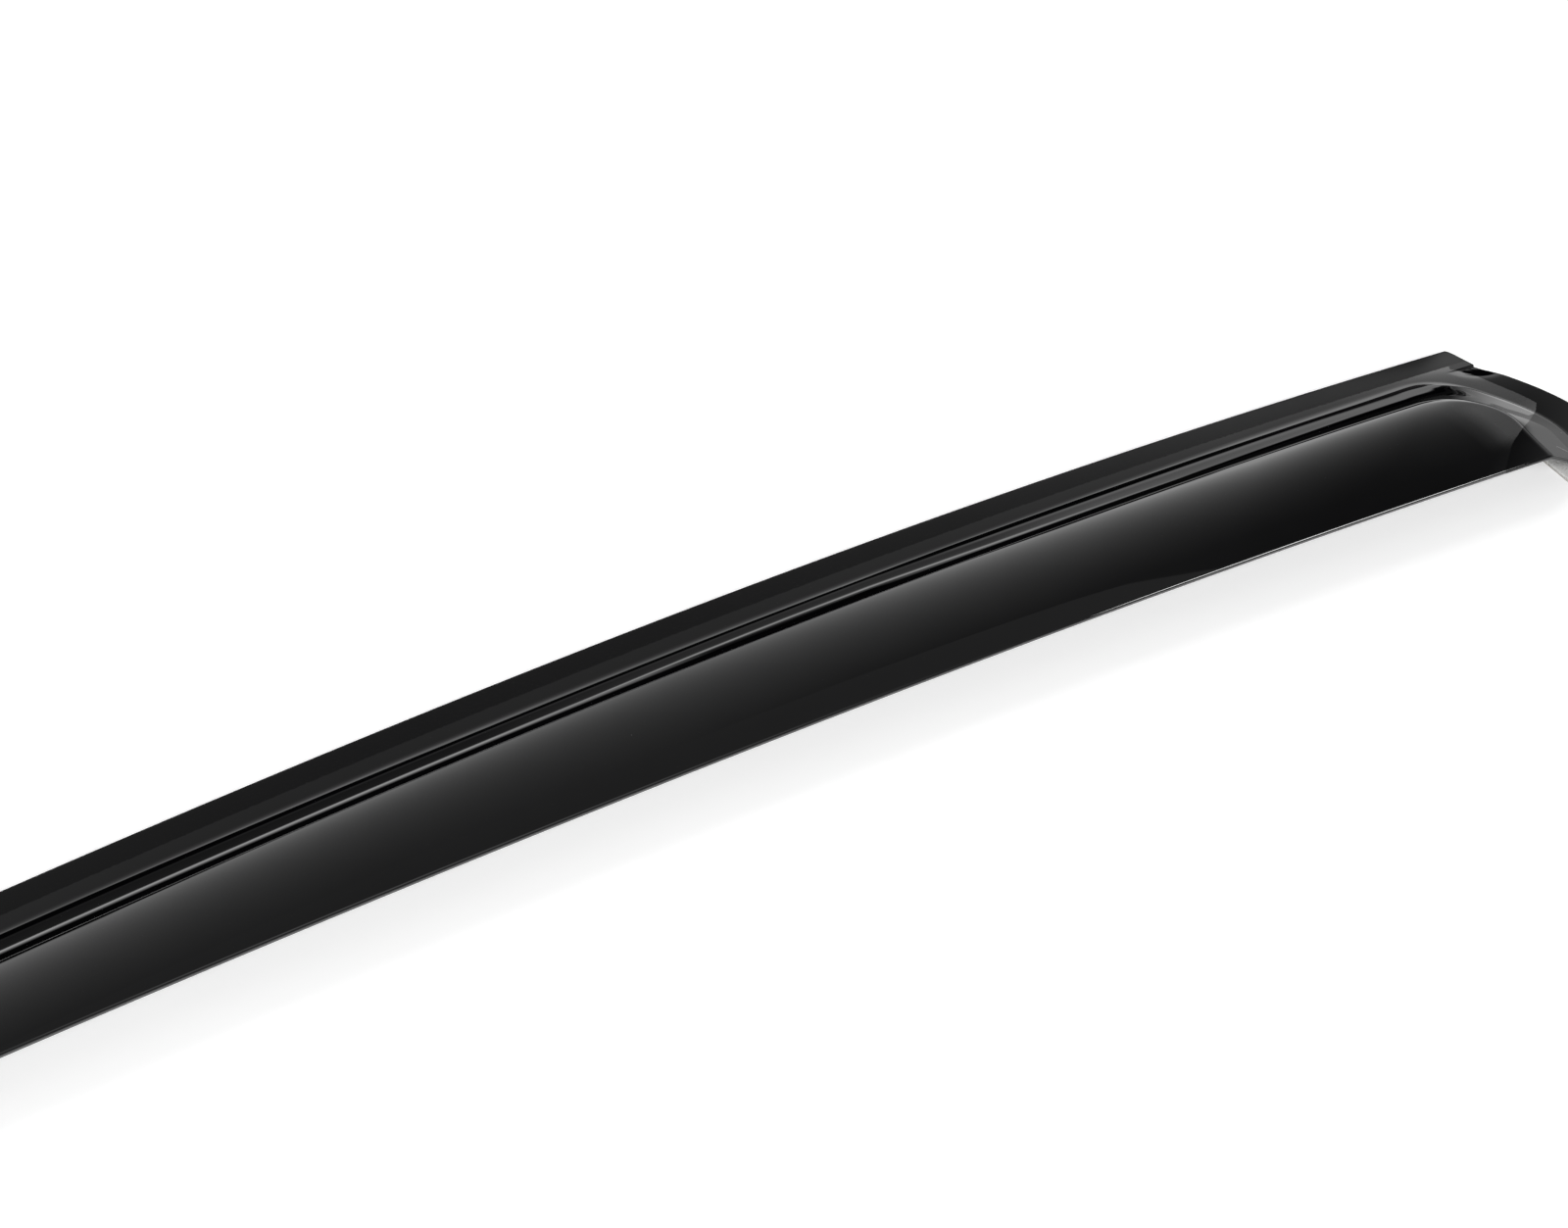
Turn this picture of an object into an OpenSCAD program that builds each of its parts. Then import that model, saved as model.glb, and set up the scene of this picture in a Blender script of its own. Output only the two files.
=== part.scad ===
// Tape-on window rain deflector, lying outer side up on its mounting plane.
// X runs along the part, Y points from the shade towards the flange, Z is up.
// s is measured along the top edge and is 0 at its last corner, n is measured
// inwards from that edge, so a place on the part is written as s and n.

/* [Overall] */
// Length of the top edge, measured along its curve
top_len = 774; // [500:1:1000]
// Radius of the top edge in the mounting plane
arch_r = 3475; // [2500:5:6000]
// Widest plan width, from the top edge to the lower edge
shade_w = 73.3; // [66:0.1:88]
// Plan width at the plain end
tip_w = 46; // [44:0.5:56]
// Distance of the widest place from the corner of the top edge
widest_at = 60; // [30:1:160]

/* [Section] */
// Thickness of the moulded sheet
wall = 3; // [2:0.1:3.5]
// Rounding of the polished edges
edge_r = 0.8; // [0.3:0.05:0.9]
// Width of the flat mounting flange
flange_w = 12.8; // [12.5:0.1:18]
// Width of the flange beside the closed end, where the step comes nearer
flange_end_w = 9.9; // [9.6:0.1:12.8]
// Outer radius of the foot, where the step leaves the flange
foot_r = 5; // [3:0.1:8]
// Radius of the foot beside the closed end, where it is softer
foot_end_r = 14; // [3:0.5:16]
// Slope at the end of the foot
foot_a = 20; // [14:0.5:26]
// Plan width of the hollow step, from the foot to the crest
step_w = 12.6; // [8:0.1:16]
// Plan width of the step beside the closed end
step_end_w = 10.8; // [8:0.1:14]
// Slope at the top of the step
rise_a = 36; // [30:0.5:42]
// Plan width of the rounded crest above the step
crest_w = 1.8; // [1:0.1:5]
// Plan width of the crest beside the closed end, where it is softer
crest_end_w = 4; // [1:0.1:6]
// Slope where the crest runs into the crowned shade
crown_a = 25; // [20:0.5:28]
// The same slope beside the closed end
crown_end_a = 22; // [18:0.5:28]
// Width of the flat strip along the lower edge
edge_flat = 9; // [4:0.5:12]

/* [Closed end] */
// Slant of the cut across the end of the flange
cut_a = 22.5; // [10:0.5:30]
// Width of the flange tongue that ends in the slanted cut
tongue_w = 11.3; // [9:0.1:11.9]
// How far the end lobe reaches past the corner of the top edge
lobe_out = 26.3; // [18:0.1:34]
// Distance of the lobe's furthest point from the top edge
lobe_at = 55; // [48:0.5:62]
// Width of the flat flange round the lobe
lobe_flange_w = 14.3; // [12:0.1:18]
// Slope of the wall that closes the end
end_a = 27; // [22:0.5:34]
// Outer radius of the foot of the walls that close the ends
end_foot_r = 5; // [3:0.25:8]
// Corner radius between the lobe and the lower edge
lobe_r = 11; // [5:0.25:14]
// Corner radius at the end of the top edge
corner_r = 2.5; // [1:0.1:5]
// Step down from the tongue to the lobe beside the notch
notch_drop = 0.9; // [0.3:0.05:1]

/* [Plain end] */
// Width of the flat flange across the plain end
tip_flange_w = 8; // [5:0.25:14]
// Slope of the wall that closes the plain end
tip_a = 18; // [12:0.5:26]
// Corner radius between the plain end and the lower edge
tip_r = 30; // [15:0.5:34]
// Corner radius between the plain end and the top edge
tip_corner_r = 8; // [3:0.25:12]

/* [Tape] */
// Width of the foam tape
tape_w = 8; // [5:0.1:9.3]
// Thickness of the foam tape
tape_t = 1; // [0.6:0.05:1.6]
// Thickness of the release liner under every tape
liner_t = 0.2; // [0.1:0.05:0.4]
// Bare strip between the top edge and the tape
tape_margin = 1.5; // [0.5:0.1:2.8]
// Distance from the plain end to the start of the tape
tape_start = 10; // [9:0.5:40]
// Distance from the corner of the top edge to the tape's other end
tape_stop = 3; // [2:0.5:30]
// Length of the short tape on the lobe
end_tape_len = 13; // [6:0.5:14]
// Bare strip between the lobe's outer edge and its tape and pad
end_margin = 1.5; // [1:0.1:4]

/* [End pad] */
// Length of the pad across the lobe
pad_w = 26; // [14:0.5:28]
// Length of the pad's inner side, which ends in the point
pad_len = 36; // [28:0.5:40]
// Length of the pad's outer side
pad_side = 23.5; // [14:0.5:26]
// Distance from the top edge to the pad's outer corner, on the lobe's edge
pad_at = 33; // [31:0.25:36]
// Slant of the pad's two long sides
pad_skew = 5; // [0:0.5:8]
// Gap between the short tape and the pad
pad_gap = 0.4; // [0.2:0.1:1.5]

/* [Hidden] */

smoke = [0.07, 0.07, 0.08];
foam_grey = [0.30, 0.30, 0.31];
liner_tone = [0.86, 0.84, 0.80];
pad_tone = [0.88, 0.87, 0.84];

// Heights, from the surface that the part lies on
seat_z = tape_t + liner_t;
flange_top_z = seat_z + wall;

// The section of the step, from the flange's inner line
foot_w = foot_r * sin(foot_a);
step_n = flange_w + foot_w;
crown_n = step_n + step_w + crest_w;

// Length over which the section changes towards the closed end
end_run = 220;

// The outline of the lobe
lobe_root = tongue_w * tan(cut_a);
lobe_reach = lobe_out - lobe_root;
lobe_half = lobe_at - tongue_w;

// Where the short tape starts, so that it ends beside the pad
end_tape_n = pad_at - pad_gap - end_tape_len / sqrt(1 + pow(lobe_lean(pad_at), 2));

// How far the ends bend the grid lines across the part
lobe_hold = 55;
lobe_fade = 160;
round_fade = 26;
tip_fade = 90;
corner_blend = 14;
crest_blend = 2.5;
notch_half = 0.4;
notch_deep = 1.1;
notch_reach = 10;
slope_step = 0.05;

function smooth(x) = let (t = min(max(x, 0), 1)) t * t * (3 - 2 * t);
function soft_cut(a, b, k) = let (h = max(k - abs(a - b), 0) / max(k, 0.001)) h * h * k / 4;
function soft_min(a, b, k) = min(a, b) - soft_cut(a, b, k);

// Plan width of the part at s, widest near the closed end
tip_run = top_len - widest_at;
function width_at(s) = shade_w - (shade_w - tip_w) * pow(min(s + widest_at, 0) / tip_run, 2);

// Outline of the closed end: a slanted cut, then the lobe's bulge
function lobe_turn(n) = 90 * min(max((n - tongue_w) / lobe_half, 0), 1);
function lobe_line(n) = n < tongue_w ? n * tan(cut_a) : lobe_root + lobe_reach * sin(lobe_turn(n));
function notch_line(n) = notch_deep * max(1 - abs(n - tongue_w) / notch_half, 0);
function round_off(n, near, far, w) =
    (n < near ? near - sqrt(near * near - pow(near - n, 2)) : 0)
    + (n > w - far ? far - sqrt(max(far * far - pow(n - w + far, 2), 0)) : 0);

// Place along s of a grid point, s0 from -top_len to 0
function bent_s(s0, n, w) = s0
    + lobe_line(n) * (1 - smooth((-s0 - lobe_hold) / (lobe_fade - lobe_hold)))
    - notch_line(n) * pow(max(1 + s0 / 4, 0), 2)
    - round_off(n, corner_r, lobe_r, w) * pow(max(1 + s0 / round_fade, 0), 2)
    + round_off(n, tip_corner_r, tip_r, w) * pow(max(1 - (s0 + top_len) / tip_fade, 0), 2);

// Rise at x of an arc of plan width w, whose slope goes from one angle to another
function arc_rise(x, from, to, w) =
    let (r = w / (sin(to) - sin(from)), t = sin(from) + min(max(x, 0), w) / r)
    r * (cos(from) - sqrt(1 - t * t));

// A size of the section at s, from its value along the part to that at the closed end
function sized(along, at_end, s) = along + (at_end - along) * smooth(1 + s / end_run);

// Rise of the long side at s, at a distance x past the flange's inner line
function side_rise(x, s) =
    let (foot = sized(foot_r, foot_end_r, s) * sin(foot_a), step = sized(step_w, step_end_w, s))
    let (crest = sized(crest_w, crest_end_w, s), top_a = sized(crown_a, crown_end_a, s))
    let (step_end = foot + step, crest_end = step_end + crest)
    let (crown = shade_w - edge_flat - sized(flange_w, flange_end_w, s) - crest_end)
    arc_rise(x, 0, foot_a, foot)
    + arc_rise(x - foot, foot_a, rise_a, step)
    + arc_rise(x - step_end, rise_a, top_a, crest)
    + arc_rise(x - crest_end, top_a, 0, crown);

// Rise of a wall that closes an end, a fillet and then a straight slope
function wall_rise(x, a) = x <= 0 ? 0
    : x < end_foot_r * sin(a) ? end_foot_r - sqrt(end_foot_r * end_foot_r - x * x)
    : end_foot_r * (1 - cos(a)) + (x - end_foot_r * sin(a)) * tan(a);

// Distance from the outline of the closed end
function lobe_lean(n) = lobe_reach * PI / 2 / lobe_half * cos(lobe_turn(n));
function lobe_dist(s, n) = (lobe_line(n) - s) / sqrt(1 + pow(lobe_lean(n), 2));

// The lobe drops beside the notch, so the tongue ends in a small cliff
function notch_dip(s, n) = notch_drop
    * smooth((n - tongue_w + notch_half) / (2 * notch_half))
    * (1 - smooth((n - tongue_w - 1) / (end_tape_n - tongue_w - 1.3)))
    * (1 - smooth((lobe_dist(s, n) - 1) / notch_reach));

// Height of the outer surface above the flange
function rise(s, n) =
    let (side = n - sized(flange_w, flange_end_w, s))
    let (right = s > -top_len / 2)
    let (end = right ? lobe_dist(s, n) - lobe_flange_w : s + top_len - tip_flange_w)
    let (cut = soft_cut(side, end, corner_blend))
    let (up_side = side_rise(side - cut, s), up_end = wall_rise(end - cut, right ? end_a : tip_a))
    let (low = min(up_side, up_end))
    soft_min(up_side, up_end, min(crest_blend, low)) - (right ? notch_dip(s, n) : 0);

// A point inside the lobe's outer edge, d in from the edge point at n
function lobe_point(n, d) =
    let (lean = lobe_lean(n))
    [lobe_line(n), n] + d * [-1, lean] / sqrt(1 + lean * lean);

// The pad's long sides run from the lobe to its inner corner's point
pad_way = [sin(pad_skew), cos(pad_skew)];
pad_tip = lobe_point(pad_at, end_margin + pad_w) + pad_len * pad_way;

// Place in the part's frame of s and n, with the origin under the middle of its box
mid_s = -top_len / 2;
function turn_at(s) = (s - mid_s) * 180 / PI / arch_r;
left_x = (arch_r - tip_corner_r) * sin(turn_at(-top_len));
right_x = (arch_r - lobe_at) * sin(turn_at(lobe_out));
shade_y = (arch_r - shade_w) * cos(turn_at(lobe_out - lobe_r)) - arch_r;
tip_y = (arch_r - pad_tip[1]) * cos(turn_at(pad_tip[0])) - arch_r;
low_y = min(shade_y, tip_y);
shift_x = -(left_x + right_x) / 2;
shift_y = -low_y / 2;
function place(s, n, z) = [
    (arch_r - n) * sin(turn_at(s)) + shift_x,
    (arch_r - n) * cos(turn_at(s)) - arch_r + shift_y,
    z];

function outer_point(s, n) = place(s, n, flange_top_z + rise(s, n));
function normal_at(s, n) =
    let (e = slope_step)
    let (ds = (rise(s + e, n) - rise(s - e, n)) / (2 * e) * arch_r / (arch_r - n))
    let (dn = (rise(s, n + e) - rise(s, n - e)) / (2 * e))
    let (a = turn_at(s))
    let (v = [-ds * cos(a) + dn * sin(a), ds * sin(a) + dn * cos(a), 1])
    v / norm(v);

// Grid lines along the part: close together at the ends
stations = concat(
    [for (i = [0 : 13]) -top_len + edge_r + i * 4.5],
    [for (i = [1 : 56]) -top_len + edge_r + 58.5 + i * (top_len - 58.5 - 66 - 2 * edge_r) / 56],
    [for (i = [1 : 21]) -edge_r - 66 + i * 3],
    [for (e = [1.8, 0.8, 0]) -edge_r - e]);

// Grid lines across the part: close together at the notch, step and lower edge
function levels(w) = concat(
    [edge_r, 1.8, 4, 7.5],
    [tongue_w - notch_half, tongue_w, tongue_w + notch_half, (tongue_w + flange_w) / 2],
    [for (k = [0, 0.5, 1]) flange_w + k * foot_w],
    [for (k = [0.3, 0.6, 0.82, 1]) step_n + k * step_w],
    [crown_n],
    [for (k = [0.1, 0.22, 0.36, 0.52, 0.7, 0.86]) crown_n + k * (w - lobe_r - crown_n)],
    [for (k = [0, 0.4, 0.68, 0.87, 0.97]) w - lobe_r + k * lobe_r],
    [w - edge_r]);

n_count = len(levels(shade_w));
s_count = len(stations);

module deflector_shell() {
    outer_grid = [for (s0 = stations)
        let (w = width_at(s0))
        for (n = levels(w)) let (s = bent_s(s0, n, w)) [s, n]];
    tops = [for (p = outer_grid) outer_point(p[0], p[1])];
    normals = [for (p = outer_grid) normal_at(p[0], p[1])];
    size = len(tops);
    bases = [for (k = [0 : size - 1]) tops[k] - wall * normals[k]];
    // The rim runs round the grid, and bulges by the edge radius
    rim = concat(
        [for (i = [0 : s_count - 1]) i * n_count],
        [for (j = [1 : n_count - 1]) (s_count - 1) * n_count + j],
        [for (i = [1 : s_count - 1]) (s_count - 1 - i) * n_count + n_count - 1],
        [for (j = [1 : n_count - 2]) n_count - 1 - j]);
    rim_count = len(rim);
    rim_out = [for (k = [0 : rim_count - 1])
        let (next = rim[(k + 1) % rim_count], last = rim[(k + rim_count - 1) % rim_count])
        let (v = cross(normals[rim[k]], tops[next] - tops[last]))
        v / norm(v)];
    rim_high = [for (k = [0 : rim_count - 1]) tops[rim[k]] + edge_r * (rim_out[k] - normals[rim[k]])];
    rim_low = [for (k = [0 : rim_count - 1]) bases[rim[k]] + edge_r * (rim_out[k] + normals[rim[k]])];
    high = 2 * size;
    low = high + rim_count;
    function quad(a, b, c, d) = [[a, c, b], [a, d, c]];
    faces = concat(
        [for (i = [0 : s_count - 2]) for (j = [0 : n_count - 2])
            let (a = i * n_count + j)
            each quad(a, a + 1, a + n_count + 1, a + n_count)],
        [for (i = [0 : s_count - 2]) for (j = [0 : n_count - 2])
            let (a = size + i * n_count + j)
            each quad(a, a + n_count, a + n_count + 1, a + 1)],
        [for (k = [0 : rim_count - 1]) let (m = (k + 1) % rim_count)
            each concat(
                quad(rim[k], rim[m], high + m, high + k),
                quad(high + k, high + m, low + m, low + k),
                quad(low + k, low + m, size + rim[m], size + rim[k]))]);
    color(smoke) polyhedron(points = concat(tops, bases, rim_high, rim_low), faces = faces, convexity = 6);
}

// A flat band that follows the arch, from n_0 to n_1 and from s_0 to s_1
module arc_band(s_0, s_1, n_0, n_1, z_0, t) {
    start = 90 - turn_at(s_1);
    translate([shift_x, shift_y - arch_r, z_0])
        rotate([0, 0, start])
            rotate_extrude(angle = turn_at(s_1) - turn_at(s_0), $fn = 720)
                translate([arch_r - n_1, 0])
                    square([n_1 - n_0, t]);
}

module flange_strip(z_0, t) {
    arc_band(tape_start - top_len, -tape_stop, tape_margin, tape_margin + tape_w, z_0, t);
}

module flange_tape() {
    color(foam_grey) flange_strip(liner_t, tape_t);
}

module flange_liner() {
    color(liner_tone) flange_strip(0, liner_t);
}

// A flat piece under the lobe, from points given as s and n
module lobe_patch(points, z_0, t) {
    translate([0, 0, z_0])
        linear_extrude(t)
            polygon([for (p = points) let (q = place(p[0], p[1], 0)) [q[0], q[1]]]);
}

module end_strip(z_0, t) {
    ns = [for (k = [0 : 8]) end_tape_n + (pad_at - pad_gap - end_tape_n) * k / 8];
    outer = [for (n = ns) lobe_point(n, end_margin)];
    inner = [for (k = [8 : -1 : 0]) lobe_point(ns[k], end_margin + tape_w)];
    lobe_patch(concat(outer, inner), z_0, t);
}

module end_tape() {
    color(foam_grey) end_strip(liner_t, tape_t);
}

module end_liner() {
    color(liner_tone) end_strip(0, liner_t);
}

// The pad is cut square to the lobe's edge, and ends in a point beyond the shade
module pad_patch(z_0, t) {
    outer = lobe_point(pad_at, end_margin);
    inner = lobe_point(pad_at, end_margin + pad_w);
    lobe_patch([outer, inner, pad_tip, outer + pad_side * pad_way], z_0, t);
}

module end_pad() {
    color(pad_tone) pad_patch(liner_t, tape_t);
}

module pad_liner() {
    color(liner_tone) pad_patch(0, liner_t);
}

deflector_shell();
flange_tape();
flange_liner();
end_tape();
end_liner();
end_pad();
pad_liner();
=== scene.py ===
import math

import bpy
import numpy as np
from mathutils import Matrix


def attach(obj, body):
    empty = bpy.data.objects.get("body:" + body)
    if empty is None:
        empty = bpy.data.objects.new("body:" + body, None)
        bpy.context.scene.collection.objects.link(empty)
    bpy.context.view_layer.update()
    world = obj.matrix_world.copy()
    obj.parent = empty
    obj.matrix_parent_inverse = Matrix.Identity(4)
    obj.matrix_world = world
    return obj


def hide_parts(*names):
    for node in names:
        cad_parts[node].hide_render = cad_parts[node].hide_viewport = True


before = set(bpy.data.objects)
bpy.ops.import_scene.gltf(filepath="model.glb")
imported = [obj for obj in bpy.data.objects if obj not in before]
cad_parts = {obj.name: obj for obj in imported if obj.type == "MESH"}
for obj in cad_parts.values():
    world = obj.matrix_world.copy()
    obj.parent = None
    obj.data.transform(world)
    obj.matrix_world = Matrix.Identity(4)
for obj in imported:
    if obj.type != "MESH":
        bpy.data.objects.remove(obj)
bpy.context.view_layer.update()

mm = 0.001

# the moulded sheet, all lengths in millimetres, slopes in degrees
visor = {
    "topLength": 774.0, "archRadius": 3475.0, "shadeWidth": 73.3, "tipWidth": 46.0, "widestAt": 60.0,
    "wall": 3.0, "thinBy": 1.1, "thinOver": 14.0, "edgeRadius": 0.8, "flangeWidth": (12.8, 9.9), "flangeTop": 4.2,
    "footRadius": (5.0, 14.0), "footSlope": 20.0, "stepWidth": (13.6, 10.8), "riseSlope": (37.2, 36.0),
    "crestWidth": (0.8, 4.0), "crownSlope": (24.6, 22.0), "edgeFlat": 9.0, "endRun": 220.0,
    "cutSlant": 22.5, "tongueWidth": 11.3, "lobeOut": 26.3, "lobeAt": 55.0, "lobeFlange": 14.3,
    "endSlope": 27.0, "endFootRadius": 5.0, "lobeCorner": 11.0, "cornerRadius": 2.5, "notchDrop": 0.9,
    "tipFlange": 8.0, "tipSlope": 18.0, "tipCorner": 30.0, "tipTopCorner": 8.0,
    "lobeHold": 55.0, "lobeFade": 160.0, "roundFade": 26.0, "tipFade": 90.0,
    "cornerBlend": 14.0, "endCrest": 0.6, "tipCrest": 2.5, "notchHalf": 0.4, "notchDeep": 1.1, "notchReach": 10.0,
    "notchFade": 4.0, "dipFrom": 1.0, "dipEnd": 1.3, "crownCurl": 0.03, "padAt": 33.0, "padGap": 0.4, "endTape": 13.0,
}


def sineOf(angle):
    return math.sin(math.radians(angle))


def cosineOf(angle):
    return math.cos(math.radians(angle))


# the sheet's outer surface is a height over s, the length along its top edge, and n, inwards from that edge
def ease(x):
    # three x squared less two x cubed, held at 0 and 1
    t = np.clip(x, 0, 1)
    return t * t * (3 - 2 * t)


def softCut(a, b, reach):
    # how much a rounded minimum of a and b lies under the plain one
    h = np.maximum(reach - np.abs(a - b), 0) / np.maximum(reach, 1e-3)
    return h * h * reach / 4


def cutLine(n):
    # the slanted cut that ends the flange
    return n * math.tan(math.radians(visor["cutSlant"]))


def lobeLine(n):
    # the closed end's outline: the slanted cut, then a quarter sine out to the lobe's furthest point
    root = cutLine(visor["tongueWidth"])
    t = np.clip((n - visor["tongueWidth"]) / (visor["lobeAt"] - visor["tongueWidth"]), 0, 1)
    lobe = root + (visor["lobeOut"] - root) * np.sin(math.pi / 2 * t)
    return np.where(n < visor["tongueWidth"], cutLine(n), lobe)


def lobeLean(n):
    # slope of that quarter sine
    root = cutLine(visor["tongueWidth"])
    half = visor["lobeAt"] - visor["tongueWidth"]
    t = np.clip((n - visor["tongueWidth"]) / half, 0, 1)
    return (visor["lobeOut"] - root) * math.pi / 2 / half * np.cos(math.pi / 2 * t)


def lobeDepth(s, n):
    # distance inwards from the lobe's outline
    return (lobeLine(n) - s) / np.sqrt(1 + lobeLean(n) ** 2)


def lobePoint(n, depth):
    # s and n of the place that lies depth inside the outline's point at n
    lean = lobeLean(n)
    size = np.sqrt(1 + lean * lean)
    return lobeLine(n) - depth / size, n + depth * lean / size


def roundOff(n, near, far, width):
    # how far two corner arcs of the radii near and far hold the outline back
    low = near - np.sqrt(np.maximum(near ** 2 - np.maximum(near - n, 0) ** 2, 0))
    high = far - np.sqrt(np.maximum(far ** 2 - np.maximum(n - width + far, 0) ** 2, 0))
    return low + high


def widthAt(s):
    # plan width, a parabola that falls from the widest place to the plain end
    run = visor["topLength"] - visor["widestAt"]
    fall = visor["shadeWidth"] - visor["tipWidth"]
    return visor["shadeWidth"] - fall * (np.minimum(s + visor["widestAt"], 0) / run) ** 2


def bentS(s0, n, width):
    # a station's place along s, bent to the lobe, the notch and the four rounded corners
    notch = visor["notchDeep"] * np.maximum(1 - np.abs(n - visor["tongueWidth"]) / visor["notchHalf"], 0)
    hold = 1 - ease((-s0 - visor["lobeHold"]) / (visor["lobeFade"] - visor["lobeHold"]))
    closed = roundOff(n, visor["cornerRadius"], visor["lobeCorner"], width)
    plain = roundOff(n, visor["tipTopCorner"], visor["tipCorner"], width)
    return (s0 + lobeLine(n) * hold - notch * np.maximum(1 + s0 / visor["notchFade"], 0) ** 2
            - closed * np.maximum(1 + s0 / visor["roundFade"], 0) ** 2
            + plain * np.maximum(1 - (s0 + visor["topLength"]) / visor["tipFade"], 0) ** 2)


def sized(name, s):
    # a size of the section, which eases from its value along the part to that at the closed end
    along, atEnd = visor[name]
    return along + (atEnd - along) * ease(1 + s / visor["endRun"])


def footWidth(s):
    # plan width of the fillet between the flange and the step
    return sized("footRadius", s) * sineOf(visor["footSlope"])


def arcRise(x, slopeFrom, slopeTo, width):
    # rise at x of an arc of that plan width, whose slope goes from one angle to the other
    low, high = np.sin(np.radians(slopeFrom)), np.sin(np.radians(slopeTo))
    radius = width / (high - low)
    t = low + np.clip(x, 0, width) / radius
    return radius * (np.cos(np.radians(slopeFrom)) - np.sqrt(1 - t * t))


def stepRise(x, s):
    # the foot's fillet and the hollow step, which then runs on straight
    foot, width, slope = footWidth(s), sized("stepWidth", s), sized("riseSlope", s)
    return (arcRise(x, 0, visor["footSlope"], foot) + arcRise(x - foot, visor["footSlope"], slope, width)
            + np.maximum(x - foot - width, 0) * np.tan(np.radians(slope)))


def crownRise(x, s):
    # the shade's own surface: an arc from the crest on, run back along a parabola before it
    crest = footWidth(s) + sized("stepWidth", s) + sized("crestWidth", s) / 2
    slope = sized("crownSlope", s)
    width = visor["shadeWidth"] - visor["edgeFlat"] - sized("flangeWidth", s) - crest
    before = np.maximum(crest - x, 0)
    return (stepRise(crest, s) + arcRise(x - crest, slope, 0, width)
            - before * np.tan(np.radians(slope)) + visor["crownCurl"] * before ** 2)


def wallRise(x, slope):
    # a fillet, then a straight wall
    radius = visor["endFootRadius"]
    foot = radius * sineOf(slope)
    low = radius - np.sqrt(np.maximum(radius ** 2 - np.clip(x, 0, foot) ** 2, 0))
    high = radius * (1 - cosineOf(slope)) + (x - foot) * math.tan(math.radians(slope))
    return np.where(x <= 0, 0, np.where(x < foot, low, high))


def rise(s, n):
    # height over the flange: a wall goes round the corner from the side's step to the end's, and the shade cuts it
    # off along the crest
    right = s > -visor["topLength"] / 2
    side = n - sized("flangeWidth", s)
    end = np.where(right, lobeDepth(s, n) - visor["lobeFlange"], s + visor["topLength"] - visor["tipFlange"])
    inside = np.minimum(side, end) - softCut(side, end, visor["cornerBlend"])
    atEnd = ease(0.5 + (side - end) / (2 * visor["cornerBlend"]))
    endWall = np.where(right, wallRise(inside, visor["endSlope"]), wallRise(inside, visor["tipSlope"]))
    wall = stepRise(inside, s) * (1 - atEnd) + endWall * atEnd
    crown = crownRise(side, s)
    bend = sized("crestWidth", s) / 2 * (np.tan(np.radians(sized("riseSlope", s)))
                                         - np.tan(np.radians(sized("crownSlope", s))))
    bend = bend * (1 - atEnd) + np.where(right, visor["endCrest"], visor["tipCrest"]) * atEnd
    # the lobe's flange dips a little from the notch to the tape under the lobe
    padLean = float(lobeLean(np.float64(visor["padAt"])))
    tapeN = visor["padAt"] - visor["padGap"] - visor["endTape"] / math.sqrt(1 + padLean ** 2)
    past = n - visor["tongueWidth"]
    dip = (visor["notchDrop"] * ease((past + visor["notchHalf"]) / (2 * visor["notchHalf"]))
           * (1 - ease((past - visor["dipFrom"]) / (tapeN - visor["tongueWidth"] - visor["dipEnd"])))
           * (1 - ease((lobeDepth(s, n) - visor["dipFrom"]) / visor["notchReach"])))
    low = np.minimum(wall, crown)
    return low - softCut(wall, crown, np.minimum(bend, np.maximum(low, 0))) - np.where(right, dip, 0)


def turnAt(s):
    # angle about the arch's centre
    return (s + visor["topLength"] / 2) / visor["archRadius"]


def place(s, n, z):
    # polar coordinates about the arch's centre, moved so that the part's box is centred
    radius = visor["archRadius"] - n
    x = radius * np.sin(turnAt(s)) + visor["shiftX"]
    y = radius * np.cos(turnAt(s)) - visor["archRadius"] + visor["shiftY"]
    return np.stack(np.broadcast_arrays(x, y, z), -1)


def outwards(s, n):
    # unit normal of the outer surface, from its slopes along s and n
    e = 0.04
    along = (rise(s + e, n) - rise(s - e, n)) / (2 * e) * visor["archRadius"] / (visor["archRadius"] - n)
    across = (rise(s, n + e) - rise(s, n - e)) / (2 * e)
    turn = turnAt(s)
    v = np.stack([-along * np.cos(turn) + across * np.sin(turn),
                  along * np.sin(turn) + across * np.cos(turn), np.ones_like(along)], -1)
    return v / np.linalg.norm(v, axis=-1, keepdims=True)


# the pad sets how far the part reaches, so its points are worked out with the sheet's place
pad = {"width": 26.0, "inner": 36.0, "outer": 23.5, "skew": 5.0, "margin": 1.5, "thick": 1.0, "liner": 0.2}
padOuter = np.array(lobePoint(np.float64(visor["padAt"]), pad["margin"]))
padInner = np.array(lobePoint(np.float64(visor["padAt"]), pad["margin"] + pad["width"]))
padWay = np.array([sineOf(pad["skew"]), cosineOf(pad["skew"])])
padTip = padInner + pad["inner"] * padWay
padHeel = padOuter + pad["outer"] * padWay

leftX = (visor["archRadius"] - visor["tipTopCorner"]) * math.sin(turnAt(-visor["topLength"]))
rightX = (visor["archRadius"] - visor["lobeAt"]) * math.sin(turnAt(visor["lobeOut"]))
shadeY = (visor["archRadius"] - visor["shadeWidth"]) * math.cos(turnAt(visor["lobeOut"] - visor["lobeCorner"]))
tipY = (visor["archRadius"] - padTip[1]) * math.cos(turnAt(padTip[0]))
visor["shiftX"] = -(leftX + rightX) / 2
visor["shiftY"] = -(min(shadeY, tipY) - visor["archRadius"]) / 2


def addMesh(name, points, faces):
    mesh = bpy.data.meshes.new(name)
    mesh.from_pydata(np.asarray(points).reshape(-1, 3).tolist(), [], faces)
    mesh.polygons.foreach_set("use_smooth", np.full(len(mesh.polygons), True))
    mesh.update()
    piece = bpy.data.objects.new(name, mesh)
    bpy.context.scene.collection.objects.link(piece)
    return piece


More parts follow.
